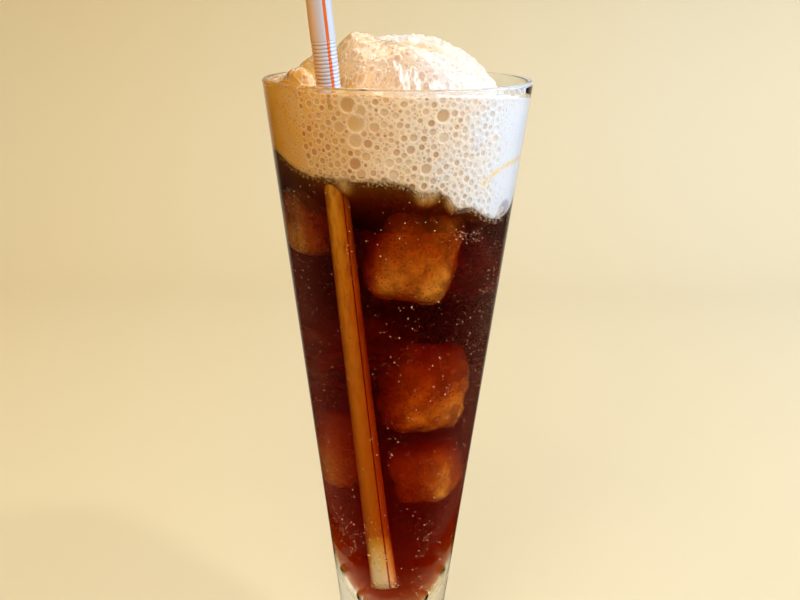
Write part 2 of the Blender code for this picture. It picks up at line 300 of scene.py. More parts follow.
class Nodes:
    # a short way to place and link shader nodes

    def __init__(self, tree):
        self.tree = tree
        self.tree.nodes.clear()

    def add(self, kind, values=None, links=None, **settings):
        node = self.tree.nodes.new(kind)
        for key, value in settings.items():
            setattr(node, key, value)
        for key, value in (values or {}).items():
            node.inputs[key].default_value = value
        for key, source in (links or {}).items():
            self.tree.links.new(source, node.inputs[key])
        return node

    def fill(self, node, *places):
        # set each numbered input to a number or a colour, or link it
        for place, value in places:
            if isinstance(value, (int, float)):
                node.inputs[place].default_value = value
            elif isinstance(value, tuple):
                node.inputs[place].default_value = (*value, 1.0)
            elif value is not None:
                self.tree.links.new(value, node.inputs[place])

    def math(self, operation, first, second=None, clamp=False):
        node = self.add("ShaderNodeMath", operation=operation, use_clamp=clamp)
        self.fill(node, (0, first), (1, second))
        return node.outputs[0]

    def mix(self, factor, first, second, **settings):
        node = self.add("ShaderNodeMix", data_type="RGBA", **settings)
        self.fill(node, (0, factor), (6, first), (7, second))
        return node.outputs[2]

    def ramp(self, factor, stops):
        node = self.add("ShaderNodeValToRGB", links={0: factor})
        ramp = node.color_ramp
        while len(ramp.elements) > 1:
            ramp.elements.remove(ramp.elements[-1])
        ramp.elements[0].position, first = stops[0]
        ramp.elements[0].color = (*first, 1.0)
        for place, colour in stops[1:]:
            ramp.elements.new(place).color = (*colour, 1.0)
        return node.outputs[0]

    def range(self, value, low, high, toLow=0.0, toHigh=1.0):
        node = self.add("ShaderNodeMapRange", {1: low, 2: high, 3: toLow, 4: toHigh}, {0: value})
        return node.outputs[0]

    def times(self, first, second):
        return self.math("MULTIPLY", first, second)

    def lessThanOne(self, value):
        return self.math("SUBTRACT", 1.0, value)

    def noise(self, point, scale, detail, roughness=0.5):
        values = {"Scale": scale, "Detail": detail, "Roughness": roughness}
        return self.add("ShaderNodeTexNoise", values, {"Vector": point}).outputs[0]

    def flecks(self, pitch, size, softness):
        values = {"Pitch": pitch, "Size": size, "Softness": softness}
        return self.add("ShaderNodeGroup", values, node_tree=speckle)

    def bump(self, height, strength, distance):
        values = {"Strength": strength, "Distance": distance}
        return self.add("ShaderNodeBump", values, {"Height": height}).outputs[0]

    def surface(self, shader, **links):
        self.add("ShaderNodeOutputMaterial", links={"Surface": shader.outputs[0], **links})

    def finish(self, values, links):
        # one plain shader with set and linked inputs, straight to the output
        self.surface(self.add("ShaderNodeBsdfPrincipled", values, links))

    def softFinish(self, roughness, coat, coatRoughness, glow, glowDepth, links):
        # the same under a thin clear coat, with some light let through
        values = {"Roughness": roughness, "Coat Weight": coat, "Coat Roughness": coatRoughness}
        self.finish({**values, "Subsurface Weight": glow, "Subsurface Scale": glowDepth}, links)

    def clearFinish(self, tint, ior, mirror, through, throughTint, links=None, **more):
        # a shader that bends light, with a clear sheet in its place where through is 1
        values = {
            "Base Color": (*tint, 1.0),
            "Roughness": 0.0,
            "Transmission Weight": 1.0,
            "IOR": ior,
            "Specular Tint": (mirror, mirror, mirror, 1.0),
        }
        bending = self.add("ShaderNodeBsdfPrincipled", values, links)
        sheet = self.add("ShaderNodeBsdfTransparent", {"Color": (*throughTint, 1.0)})
        both = {0: through, 1: bending.outputs[0], 2: sheet.outputs[0]}
        self.surface(self.add("ShaderNodeMixShader", links=both), **more)

    def attribute(self, name):
        return self.add("ShaderNodeAttribute", attribute_name=name).outputs["Fac"]

    def objectPoint(self):
        return self.add("ShaderNodeTexCoord").outputs["Object"]


def newMaterial(name):
    material = bpy.data.materials.new(name)
    material.use_nodes = True
    return material, Nodes(material.node_tree)


def speckleGroup():
    # round flecks on a jittered lattice: a mask of discs, and a dome height over each
    group = bpy.data.node_groups.new("speckle", "ShaderNodeTree")
    for name, value in (("Pitch", 0.001), ("Size", 0.4), ("Softness", 0.1)):
        socket = group.interface.new_socket(name, in_out="INPUT", socket_type="NodeSocketFloat")
        socket.default_value = value
    for name in ("Mask", "Height"):
        group.interface.new_socket(name, in_out="OUTPUT", socket_type="NodeSocketFloat")
    make = Nodes(group)
    start = make.add("NodeGroupInput")
    scale = make.math("DIVIDE", 1.0, start.outputs["Pitch"])
    cells = make.add(
        "ShaderNodeTexVoronoi", {"Randomness": 0.9},
        {"Vector": make.objectPoint(), "Scale": scale}, feature="F1",
    )
    shade = make.add("ShaderNodeSeparateColor", links={0: cells.outputs["Color"]})
    size = make.times(start.outputs["Size"], make.range(shade.outputs[0], 0.0, 1.0, 0.35, 1.0))
    left = make.math("SUBTRACT", size, cells.outputs["Distance"])
    mask = make.math("DIVIDE", left, start.outputs["Softness"], clamp=True)
    share = make.math("DIVIDE", cells.outputs["Distance"], make.math("MAXIMUM", size, 0.01))
    bowl = make.math("SUBTRACT", 1.0, make.times(share, share), clamp=True)
    end = make.add("NodeGroupOutput")
    make.tree.links.new(mask, end.inputs["Mask"])
    make.tree.links.new(bowl, end.inputs["Height"])
    return group


speckle = speckleGroup()


# Glass

glassLook = {
    "ior": 1.5,
    "tint": (0.985, 0.995, 0.99),
    "shadowTint": (0.93, 0.95, 0.94),
    "wetFrom": 0.046,  # the cavity's round end mirrors like plain glass
    "insideRings": 60,  # rings up the inside, short of the rim
}


def glassProfile():
    # cavity floor on the axis, up the inside, over a half-round rim, down the cone, stem and foot
    turn = np.linspace(0.0, math.pi / 2, 28)[:-1]
    bend, coneEnd = glassShape["bend"], glassShape["coneEnd"]
    stem, stemTop = glassShape["stemRadius"], glassShape["stemHeight"]
    foot, footTop = glassShape["footRadius"], glassShape["footEdge"]
    floorZ = bend - (bend - glassShape["floor"]) * np.cos(turn)
    lip = glassShape["rimWall"] / 2.0
    lipZ = glassShape["height"] - lip
    insideZ = np.linspace(bend, lipZ, 40)
    rimTurn = np.linspace(math.pi, 0.0, 13)[1:-1]
    rimRadius = glassShape["rimRadius"] - lip + lip * np.cos(rimTurn)
    rimZ = lipZ + lip * np.sin(rimTurn)
    outsideZ = np.linspace(lipZ, coneEnd, 40)
    share = np.linspace(1.0, 0.0, 16)[1:]
    ease = share * share * (3.0 - 2.0 * share)
    neckRadius = stem + (outerRadius(coneEnd) - stem) * ease
    neckZ = stemTop + (coneEnd - stemTop) * share
    share = np.linspace(1.0, 0.06, 24)[1:]
    footRadius = foot + (stem - foot) * share
    footZ = footTop + (stemTop - footTop) * share ** 3.2
    edgeTurn = np.linspace(math.pi / 2, -math.pi / 2, 11)
    edge = footTop / 2.0
    edgeRadius = foot - edge + edge * np.cos(edgeTurn)
    edgeZ = edge + edge * np.sin(edgeTurn)
    radius = np.concatenate([
        cavityRadius(floorZ), cavityRadius(insideZ), rimRadius, outerRadius(outsideZ),
        neckRadius, footRadius, edgeRadius, [0.02, 0.01],
    ])
    height = np.concatenate([floorZ, insideZ, rimZ, outsideZ, neckZ, footZ, edgeZ, [0.0, 0.0]])
    radius[0] = 0.0
    return radius, height


def makeGlass():
    # the profile turned round the axis, with its second finish where the drink wets the cavity
    radius, height = glassProfile()
    angle = roundAngles(glassShape["sides"])
    rows = ringRows(radius[1:, None], height[1:, None], angle[None, :])
    piece = makePiece("glassShell", wrapGrid(rows), glassMaterial("clearGlass", 1.0), "glass", "glass")
    piece.data.materials.append(glassMaterial("wetGlass", 0.0))
    count = len(piece.data.polygons)
    ring = np.minimum(np.arange(count) // glassShape["sides"], len(radius))
    corner = np.arange(count) % glassShape["sides"]
    line = foamLine(angle[corner]) + drinkLook["intoFoam"]
    faceZ = height[1:][np.minimum(ring + 1, len(radius) - 2)]
    wet = (ring < glassLook["insideRings"]) & (faceZ < line) & (faceZ > glassLook["wetFrom"])
    piece.data.polygons.foreach_set("material_index", wet.astype(np.int32))
    return piece


def glassMaterial(name, mirror):
    # where the drink touches the wall it hardly mirrors, so mirror is 0 there
    material, make = newMaterial(name)
    bump = make.bump(make.noise(make.objectPoint(), 9.0, 1.0), 0.02, 0.0005)
    shadow = make.add("ShaderNodeLightPath").outputs["Is Shadow Ray"]  # lamps shine through
    tint, shadowTint = glassLook["tint"], glassLook["shadowTint"]
    make.clearFinish(tint, glassLook["ior"], mirror, shadow, shadowTint, {"Normal": bump})
    return material


# Drink, with the ice cubes as clear rooms in it

drinkLook = {
    "ior": 1.333,
    "density": 430.0,  # absorption for each metre, times one less each colour
    "colour": (0.83, 0.50, 0.01),
    "intoWall": 0.0001,
    "intoFoam": 0.0012,
    "sides": 160,
}

iceCubes = [  # centre, half sizes, turns in degrees
    {"centre": (0.0052, -0.0135, 0.1575), "half": (0.0106, 0.0115, 0.0165), "turn": (-6.0, 13.0, 6.0)},
    {"centre": (0.0050, 0.0135, 0.1500), "half": (0.0120, 0.0095, 0.0140), "turn": (4.0, -8.0, 8.0)},
    {"centre": (-0.0215, -0.0090, 0.1620), "half": (0.0072, 0.0068, 0.0090), "turn": (4.0, 6.0, 10.0)},
    {"centre": (0.0072, -0.0065, 0.1140), "half": (0.0098, 0.0095, 0.0132), "turn": (-9.0, 4.0, 28.0)},
    {"centre": (-0.0055, 0.0140, 0.1190), "half": (0.0095, 0.0070, 0.0120), "turn": (6.0, 8.0, 18.0)},
    {"centre": (0.0072, -0.0035, 0.0868), "half": (0.0078, 0.0085, 0.0090), "turn": (8.0, -6.0, -12.0)},
    {"centre": (-0.0126, -0.0004, 0.0915), "half": (0.0052, 0.0072, 0.0118), "turn": (-6.0, 8.0, 6.0)},
]

clearPocket = {  # a chip of clear ice between the straw's end and the glass
    "centre": (-0.0027, -0.0098, 0.0578),
    "half": (0.0034, 0.0036, 0.0096),
    "turn": (7.5, -5.8, 0.0),
    "ripple": 0.0002,
    "offWall": 0.0005,
}

iceLook = {
    "power": 4.5,
    "across": 96,
    "down": 68,
    "ripple": 0.0011,
    "ripplePitch": 0.0072,
    "grain": 0.00022,
    "grainPitch": 0.0016,
    "offWall": 0.0014,  # drink left between ice and glass
    "cloudInside": 0.0003,  # how far the frost lies inside the ice's own surface
    "cloud": (0.80, 0.58, 0.16),
    "cloudMost": 0.85,
}


def iceShape(cube, seed, smaller):
    # a superellipsoid: each way from the centre over the power mean of its three parts
    way = ballWays(iceLook["across"], iceLook["down"])
    size = np.sum(np.abs(way) ** iceLook["power"], axis=-1, keepdims=True) ** (-1.0 / iceLook["power"])
    points = way * size * (np.array(cube["half"]) - smaller)
    ripple = layeredNoise(points + seed, iceLook["ripplePitch"], 2, seed)
    push = cube.get("ripple", iceLook["ripple"]) * ripple
    push = push + iceLook["grain"] * latticeNoise(points, iceLook["grainPitch"], seed + 5)
    points = points + way * push[..., None]
    for turn, axis in zip(cube["turn"], "XYZ"):
        points = points @ np.array(Matrix.Rotation(math.radians(turn), 3, axis)).T
    points = points + np.array(cube["centre"])
    out = np.hypot(points[..., 0], points[..., 1])
    inside = cavityRadius(points[..., 2]) - cube.get("offWall", iceLook["offWall"]) - smaller
    points[..., :2] *= np.minimum(1.0, inside / np.maximum(out, 1e-6))[..., None]
    return wrapGrid(points)


def makeIceClouds():
    # thin frost just inside each cube
    shells = [iceShape(cube, seed, iceLook["cloudInside"]) for seed, cube in enumerate(iceCubes)]
    low = [
        (cube["centre"][2] - shell[0][:, 2]) / cube["half"][2]
        for cube, shell in zip(iceCubes, shells)
    ]
    material, make = newMaterial("iceFrost")
    point = make.objectPoint()
    cover = make.range(make.noise(point, 170.0, 4.0, 0.6), 0.36, 0.64, 0.15, 1.0)
    cover = make.times(cover, iceLook["cloudMost"])
    foot = make.range(make.attribute("low"), -0.8, 0.8, 0.4, 1.0)
    cover = make.times(cover, foot)  # more towards the cube's foot
    gaps = make.times(make.flecks(0.0008, 0.5, 0.2).outputs["Mask"], 0.75)
    cover = make.times(cover, make.lessThanOne(gaps))
    facing = make.add("ShaderNodeLayerWeight", {"Blend": 0.5}).outputs["Facing"]
    soft = make.lessThanOne(make.times(facing, facing))  # fainter at its outline
    values = {"Base Color": (*iceLook["cloud"], 1.0), "Roughness": 0.8}
    make.finish(values, {"Alpha": make.times(cover, soft)})
    return makePiece("iceClouds", joined(shells), material, "drink", low=np.concatenate(low))


def makeDrink():
    # the bed's bowl on top, then the cavity's wall and round end, and the ice's shapes as rooms inside
    angle = roundAngles(drinkLook["sides"])[None, :]
    share = np.linspace(0.0, 1.0, 12)[1:, None]
    sunk = drinkLook["intoWall"]
    line = foamLine(angle) + drinkLook["intoFoam"]
    topRadius = share * (cavityRadius(line) + sunk)
    topRows = ringRows(topRadius, foamBed(share, angle) + drinkLook["intoFoam"], angle)
    down = np.linspace(0.0, 1.0, 44)[1:, None]
    sideZ = line + (glassShape["bend"] - line) * down
    sideRows = ringRows(cavityRadius(sideZ) + sunk, sideZ, angle)
    turn = np.linspace(math.pi / 2, 0.0, 28)[1:-1, None]
    bendZ = glassShape["bend"] - (glassShape["bend"] - glassShape["floor"]) * np.cos(turn)
    bendRows = ringRows(cavityRadius(bendZ) + sunk, bendZ - sunk, angle)
    liquid = wrapGrid(np.concatenate([topRows, sideRows, bendRows]))
    shells = [iceShape(cube, seed, 0.0) for seed, cube in enumerate(iceCubes + [clearPocket])]
    rooms = [(points, quads[:, ::-1], tris[:, ::-1]) for points, quads, tris in shells]
    body = joined([liquid] + rooms)
    onIce = np.where(np.arange(len(body[0])) < len(liquid[0]), 0.0, 1.0)
    return makePiece("drinkBody", body, drinkMaterial(), "drink", "drink", onIce=onIce)


def drinkMaterial():
    # clear, with light soaked up on the way through; the ice's own faces neither bend nor mirror
    material, make = newMaterial("darkDrink")
    shadow = make.add("ShaderNodeLightPath").outputs["Is Shadow Ray"]
    through = make.math("MAXIMUM", shadow, make.attribute("onIce"))
    values = {"Color": (*drinkLook["colour"], 1.0), "Density": drinkLook["density"]}
    soak = make.add("ShaderNodeVolumeAbsorption", values)
    white = (1.0, 1.0, 1.0)
    make.clearFinish(white, drinkLook["ior"], 0.0, through, white, Volume=soak.outputs[0])
    return material


# Foam

bandLook = {
    "frontSides": 510,  # columns on the half towards the camera
    "backSides": 170,
    "rings": 108,
    "intoWall": 0.00014,
    "middle": 0.185,  # the height whose girth lays the bubbles out
    "topAt": 0.197,  # the height whose girth meets the crown
    "belowTop": 0.0004,
    "lidBelow": 0.0010,
    "bedOffWall": 0.0002,
    "edgeRipple": 0.00045,
    "edgePitch": 0.0026,
    "count": 9500,
    "smallest": 0.00024,
    "largest": 0.0010,
    "skew": 1.9,  # how far the sizes lean to the small end
    "dent": 0.18,
    "bigOnes": [  # angle in degrees, height, radius
        (-107.0, 0.1913, 0.0023), (-110.0, 0.1960, 0.0021), (-105.0, 0.1946, 0.0016),
        (-114.5, 0.1902, 0.0015), (-107.5, 0.1869, 0.0018), (-102.0, 0.1863, 0.0012),
        (-103.0, 0.1830, 0.0012), (-108.0, 0.1810, 0.0017), (-105.5, 0.1784, 0.0014),
        (-99.0, 0.1905, 0.0013), (-95.0, 0.1944, 0.0011), (-71.0, 0.1935, 0.0018),
        (-70.0, 0.1879, 0.0014), (-84.0, 0.1850, 0.0012), (-83.0, 0.1881, 0.0011),
        (-75.0, 0.1895, 0.0010), (-93.0, 0.1815, 0.0012), (-77.0, 0.1800, 0.0015),
        (-91.0, 0.1785, 0.0013), (-27.0, 0.1655, 0.0022), (-31.5, 0.1650, 0.0015),
    ],
    "between": (0.160, 0.040),  # bubbles' lowest place and the height above it
    "tries": 4,
    "apart": 1.02,  # least distance over the sum of two radii
    "smoothSides": [(-170.0, 38.0), (-20.0, 20.0)],  # angle, half width: few bubbles there
    "smoothMost": (0.4, 0.00045),  # smoother than this, none is larger than this
    "smoothDrop": 1.1,
    "shades": (0.45, 0.75),  # how deep a bubble's painted shade is: least, and what chance adds
    "rims": (0.98, 0.22, 1.08, 0.20),  # edge and fade of the painted shade in the middle, pale rim and its width
    "reach": 1.35,
    "thinEdge": 0.0014,  # the foam's lowest part, browner towards the drink
    "thinBrown": 0.55,
    "thinWander": 0.35,
    "streak": [  # a syrupy line: angle, height
        (-48.0, 0.1742), (-42.0, 0.1768), (-33.0, 0.1789), (-8.0, 0.1799),
    ],
    "streakWidth": 0.0008,
    "streakDepth": 0.65,
    "streakWander": 0.6,
    "wanderPitch": (0.0008, 0.0016),  # of the lower edge, of the line
    "stripe": (-118.3, 0.0005, 0.1935, 0.0030, 0.60),  # the straw's: angle, width, from, fade, depth
    "coolBubble": (-25.0, 0.1668, 0.0042, 0.0026, 0.85),  # painted cool shade in one big bubble: angle, height, both half sizes, depth
    "lobes": [  # amber swells on the underside: angle, way in from the glass, radius
        (-77.5, 0.0016, 0.0021), (-73.5, 0.0018, 0.0024),
        (-63.5, 0.0012, 0.0017), (-115.0, 0.0016, 0.0022),
    ],
    "lobeDepth": 0.0013,
    "lobePale": 0.62,
    "lobeAmber": 0.85,
}


def placeBubbles(random, middle):
    # circles dropped largest first, each kept only where it is free and the foam isn't smooth
    width = 2.0 * math.pi * middle
    lowest, high = bandLook["between"]
    smoothest, largest = bandLook["smoothMost"]
    kept = np.array([
        ((math.radians(turn) + math.pi) * middle, up, size)
        for turn, up, size in bandLook["bigOnes"]
    ])
    for size in np.sort(spreadSizes(random, bandLook))[::-1]:
        for attempt in range(bandLook["tries"]):
            across = random.random() * width
            up = lowest + random.random() * high
            turn = math.degrees(across / middle)
            smooth = max(
                hill((turn - side) % 360.0 - 180.0, wide)
                for side, wide in bandLook["smoothSides"]
            )
            dropped = random.random() < smooth * bandLook["smoothDrop"]
            if dropped or (smooth > smoothest and size > largest):
                continue
            apart = np.abs(kept[:, 0] - across)
            apart = np.hypot(np.minimum(apart, width - apart), kept[:, 1] - up)
            if np.all(apart > (kept[:, 2] + size) * bandLook["apart"]):
                kept = np.vstack([kept, [across, up, size]])
                break
    return kept


def addBubble(maps, spot, away, size, shade, edge, fade, ring, wide):
    # a dome, its middle darkened as painted shade and its pale rim, by the distance from its centre
    # over its radius
    layers = (
        size * np.sqrt(np.clip(1.0 - away ** 2, 0.0, None)),
        shade * unit((edge - away) / fade),
        unit(1.0 - np.abs(away - ring) / wide),
    )
    for values, layer in zip(maps, layers):
        values[spot] = np.maximum(values[spot], layer)


def bandTints(angle, z, line, points, middle):
    # brown low down and at the straw's stripe, painted cool shade in one bubble's ellipse, amber along
    # a line
    thinPitch, streakPitch = bandLook["wanderPitch"]
    wander = bandLook["thinWander"] * latticeNoise(points, thinPitch, 2)
    thin = bandLook["thinBrown"] * unit(1.0 - (z - line) / bandLook["thinEdge"] + wander)
    turn, wide, start, fade, depth = bandLook["stripe"]
    shown = hill((angle - math.radians(turn)) * middle, wide) * unit((z - start) / fade)
    thin = np.maximum(thin, depth * shown)
    turn, up, halfWide, halfHigh, depth = bandLook["coolBubble"]
    apart = np.hypot((angle - math.radians(turn)) * middle / halfWide, (z - up) / halfHigh)
    cool = depth * unit(3.0 - 3.0 * apart)  # full over the inner two thirds
    turns, heights = zip(*bandLook["streak"])
    degrees = np.degrees(angle)
    near = hill(z - np.interp(degrees, turns, heights), bandLook["streakWidth"])
    near = near * (degrees > turns[0]) * (degrees < turns[-1])
    wander = bandLook["streakWander"] * latticeNoise(points, streakPitch, 4)
    return thin, cool, bandLook["streakDepth"] * near * (1.0 + wander)


def makeFoamBand():
    # the foam's side against the glass: a cone strip dented by bubbles, with the bowl below it
    random = np.random.default_rng(7)
    front = np.linspace(-math.pi, 0.0, bandLook["frontSides"] + 1)[:-1]
    back = np.linspace(0.0, math.pi, bandLook["backSides"] + 1)[:-1]
    angle = np.concatenate([front, back])[None, :]
    middle = cavityRadius(bandLook["middle"])
    width = 2.0 * math.pi * middle
    bubbles = placeBubbles(random, middle)
    atTop = cavityRadius(bandLook["topAt"])
    high = foamTop(atTop * np.cos(angle), atTop * np.sin(angle)) - bandLook["belowTop"]
    high = high + foamClimb(angle)
    line = foamLine(angle)
    rim = ringRows(middle, line, angle)
    line = line + bandLook["edgeRipple"] * layeredNoise(rim, bandLook["edgePitch"], 3, 3)
    down = np.linspace(0.0, 1.0, bandLook["rings"])[:, None]
    z = high + (line - high) * down
    wall = cavityRadius(z) + bandLook["intoWall"]
    across = (angle + math.pi) * middle
    dent, cell, skin = np.zeros((3, *z.shape))
    least, added = bandLook["shades"]
    for place, up, size in bubbles:
        apart = np.abs(across[0] - place)
        apart = np.minimum(apart, width - apart)
        columns = np.flatnonzero(apart < size * bandLook["reach"])
        away = np.hypot(apart[columns], z[:, columns] - up) / size
        shade = least + added * random.random() ** 2
        spot = (slice(None), columns)
        addBubble((dent, cell, skin), spot, away, size, shade, *bandLook["rims"])
    sideRows = ringRows(wall - bandLook["dent"] * dent, z, angle)
    # the bowl, with closer rings near the glass for the swells
    share = np.concatenate([np.linspace(1.0, 0.62, 27)[1:], np.linspace(0.62, 0.0, 9)[1:-1]])
    share = share[:, None]
    lobe = np.zeros_like(share * angle)
    for turn, inward, size in bandLook["lobes"]:
        apart = np.hypot((angle - math.radians(turn)) * middle, (1.0 - share) * middle - inward)
        lobe = np.maximum(lobe, hill(apart, size))
    bedZ = foamBed(share, angle) - bandLook["lobeDepth"] * lobe
    bedRows = ringRows(share * (cavityRadius(line) - bandLook["bedOffWall"]), bedZ, angle)
    lidRows = ringRows(np.array([[0.3], [0.97]]) * wall[0], high - bandLook["lidBelow"], angle)
    thin, cool, streak = bandTints(angle, z, line, sideRows, middle)
    # painted shade: the bowl under the foam takes the dark brown tint, less of it on the swells
    below = 1.0 - bandLook["lobePale"] * lobe
    lid = np.zeros(lidRows[..., 0].size)
    under = np.concatenate([lid, thin.ravel(), below.ravel(), [1.0]])
    streak = np.concatenate([lid, streak.ravel(), bandLook["lobeAmber"] * lobe.ravel()])
    cell, skin, cool = (np.concatenate([lid, values.ravel()]) for values in (cell, skin, cool))
    rows = np.concatenate([lidRows, sideRows, bedRows])
    material = foamMaterial("foamAtGlass", "atGlass", 0.85, 0.35, 0.45, 0.15)
    return makePiece(
        "foamBand", wrapGrid(rows), material, "foam", "foam",
        cell=cell, skin=skin, under=under, cool=cool, streak=streak,
    )


topLook = {
    "sides": 460,
    "rings": 205,
    "count": 2600,
    "smallest": 0.00024,
    "largest": 0.0013,
    "skew": 2.4,
    "dome": 0.30,
    "rims": (0.92, 0.25, 1.03, 0.20),
    "reach": 1.3,
    "within": 0.0345,
    "edgeAt": 0.1965,  # the height whose girth ends the crown
    "offWall": 0.0002,
    "underRim": 0.0004,
    "rimFrom": (0.985, 0.5, 0.02),  # inside this share it may rise by this slope, up to this much
    "climbFrom": (0.90, 0.08),  # share of the radius where the climb sets in, and its fade
    "flat": 0.03,  # share of the radius over which the domes sink towards the glass
    "wave": 0.00055,
    "wavePitch": 0.0048,
    "paintedShine": [  # painted highlights, white streaks where the foam looks wet: x, y, spread
        (-0.0055, -0.0140, 0.0022), (-0.0010, -0.0185, 0.0036), (0.0040, -0.0225, 0.0040),
        (0.0095, -0.0235, 0.0030), (-0.0110, -0.0075, 0.0020),
    ],
    "shinePitch": 0.0010,
    "shineMix": (0.7, 0.4),  # broad streaks, fine streaks
    "shineLong": 0.6,  # longer from front to back
    "shineFrom": 0.92,  # streaks show where they and the patch pass this
    "shineGain": 0.66,
    "shineSharp": 5.0,
}


def crownHeight(x, y):
    # foamTop with slow waves of layered noise
    plan = np.stack([x, y, np.zeros_like(x)], axis=-1)
    return foamTop(x, y) + topLook["wave"] * layeredNoise(plan, topLook["wavePitch"], 3, 5)


def makeFoamTop():
    # crownHeight plus a dome for each bubble and the climb at the glass, closed underneath
    random = np.random.default_rng(21)
    angle = roundAngles(topLook["sides"])[None, :]
    share = np.linspace(0.0, 1.0, topLook["rings"])[1:, None]
    radius = share * (cavityRadius(topLook["edgeAt"]) - topLook["offWall"])
    x = radius * np.cos(angle)
    y = radius * np.sin(angle)
    z = crownHeight(x, y)
    lift, cell, skin = np.zeros((3, *z.shape))
    for size in np.sort(spreadSizes(random, topLook))[::-1]:
        turn = random.random() * 2.0 * math.pi - math.pi
        out = math.sqrt(random.random()) * topLook["within"]
        rings = np.flatnonzero(np.abs(radius[:, 0] - out) < size * topLook["reach"])
        away = np.hypot(x[rings] - out * math.cos(turn), y[rings] - out * math.sin(turn)) / size
        addBubble((lift, cell, skin), rings, away, size, 1.0, *topLook["rims"])
    # painted highlights: white streaks of noise, strongest in the patches, painted into the crown's
    # colour
    plan = np.stack([x, y * topLook["shineLong"], np.zeros_like(x)], axis=-1)
    paintedShine = sum(
        hill(np.hypot(x - patchX, y - patchY), spread)
        for patchX, patchY, spread in topLook["paintedShine"]
    )
    broad, fine = topLook["shineMix"]
    streaks = broad * latticeNoise(plan, topLook["shinePitch"], 41)
    streaks = streaks + fine * latticeNoise(plan, topLook["shinePitch"] / 2.0, 43)
    streaks = streaks + topLook["shineGain"] * np.minimum(paintedShine, 1.0)
    glint = unit((streaks - topLook["shineFrom"]) * topLook["shineSharp"])
    atWall = unit((1.0 - share) / topLook["flat"])
    start, fade = topLook["climbFrom"]
    climb = foamClimb(angle) * unit((share - start) / fade)
    z = z + topLook["dome"] * lift * atWall + climb
    start, slope, most = topLook["rimFrom"]
    rise = np.clip((start - share) * slope, 0.0, most)
    z = np.minimum(z, glassShape["height"] - topLook["underRim"] + rise)
    topRows = np.stack([x, y, z], axis=-1)
    underRows = ringRows(np.array([[0.985], [0.5]]) * radius[-1], z[-1] - 0.003, angle)
    shape = wrapGrid(np.concatenate([topRows, underRows]))
    material = foamMaterial("foamOnTop", "onTop", 0.45, 0.60, 0.22, 0.9)
    painted = {"cell": cell.ravel(), "skin": skin.ravel(), "glint": glint.ravel()}
    return makePiece("foamCrown", shape, material, "foam", "foam", **painted)


foamLook = {
    "atGlass": [  # across the glass from left to right: the foam's own amber to cream, with painted cool light at the right
        (0.05, (0.79, 0.37, 0.02)), (0.30, (0.76, 0.46, 0.17)),
        (0.55, (0.84, 0.67, 0.48)), (0.85, (0.70, 0.74, 0.83)),
    ],
    # across the crown from left to right, likewise with painted cool light at the right
    "onTop": [
        (0.05, (0.63, 0.28, 0.015)), (0.24, (0.75, 0.45, 0.07)), (0.36, (0.89, 0.65, 0.37)),
        (0.52, (0.76, 0.56, 0.37)), (0.85, (0.74, 0.78, 0.90)),
    ],
    # painted shade inside the bubbles
    "bubbleShadeTint": (0.62, 0.43, 0.28),
    "skinTint": (0.97, 0.88, 0.80),
    # painted highlight
    "glintTint": (1.0, 1.0, 1.0),
    # the wet foam's brown; on the bowl under the foam it is painted shade
    "underTint": (0.27, 0.12, 0.02),
    "coolTint": (0.40, 0.36, 0.46),  # painted cool shade in one big bubble at the right
    "streakTint": (0.80, 0.58, 0.22),
    "paleCells": (0.010, 0.028),  # from left to right, where the painted shade in the bubbles grows fainter
}


def foamMaterial(name, colours, cellDepth, rimLight, roughness, gloss):
    # a ramp from left to right with painted cool light at the right, painted shade in the bubbles and
    # paler rims, then the painted tints, painted glints and shade among them
    material, make = newMaterial(name)
    point = make.objectPoint()
    place = make.add("ShaderNodeSeparateXYZ", links={0: point})
    wander = make.times(make.math("SUBTRACT", make.noise(point, 140.0, 3.0), 0.5), 0.35)
    across = make.math("ADD", make.range(place.outputs[0], -0.036, 0.036), wander)
    base = make.ramp(across, foamLook[colours])
    fine = make.flecks(0.0007, 0.42, 0.1)
    finer = make.flecks(0.00035, 0.42, 0.12)
    cell = make.attribute("cell")
    skin = make.attribute("skin")
    small = make.times(make.math("MAXIMUM", fine.outputs["Mask"], finer.outputs["Mask"]), 0.35)
    # painted shade in the bubbles and in the fine flecks, weaker towards the right
    dark = make.math("MAXIMUM", make.times(cell, cellDepth), make.times(small, make.lessThanOne(cell)))
    dark = make.times(dark, make.range(place.outputs[0], *foamLook["paleCells"], 1.0, 0.4))
    tint = make.mix(dark, (1.0, 1.0, 1.0), foamLook["bubbleShadeTint"])
    colour = make.mix(1.0, base, tint, blend_type="MULTIPLY")
    colour = make.mix(make.times(skin, rimLight), colour, foamLook["skinTint"])
    for name in ("glint", "under", "cool", "streak"):
        colour = make.mix(make.attribute(name), colour, foamLook[name + "Tint"])
    height = make.math("ADD", fine.outputs["Height"], make.times(finer.outputs["Height"], 0.5))
    bump = make.bump(height, 0.40 - 0.28 * gloss, 0.0003)
    make.softFinish(roughness, gloss, 0.04, 0.25, 0.0015, {"Base Color": colour, "Normal": bump})
    return material


# Ice cream

scoopLook = {
    "across": 280,
    "down": 190,
    "crag": 0.0008,
    "cragPitch": 0.0062,
    "cragMix": (0.75, 0.35),  # round hills, sharp ridges
    "ridgePitch": 0.7,  # over the crags' own
    "grain": 0.00044,
    "grainPitch": 0.0014,
    "colour": (0.79, 0.77, 0.74),
    # melted patches, and painted shade in the groove
    "shade": (0.84, 0.62, 0.30),
}


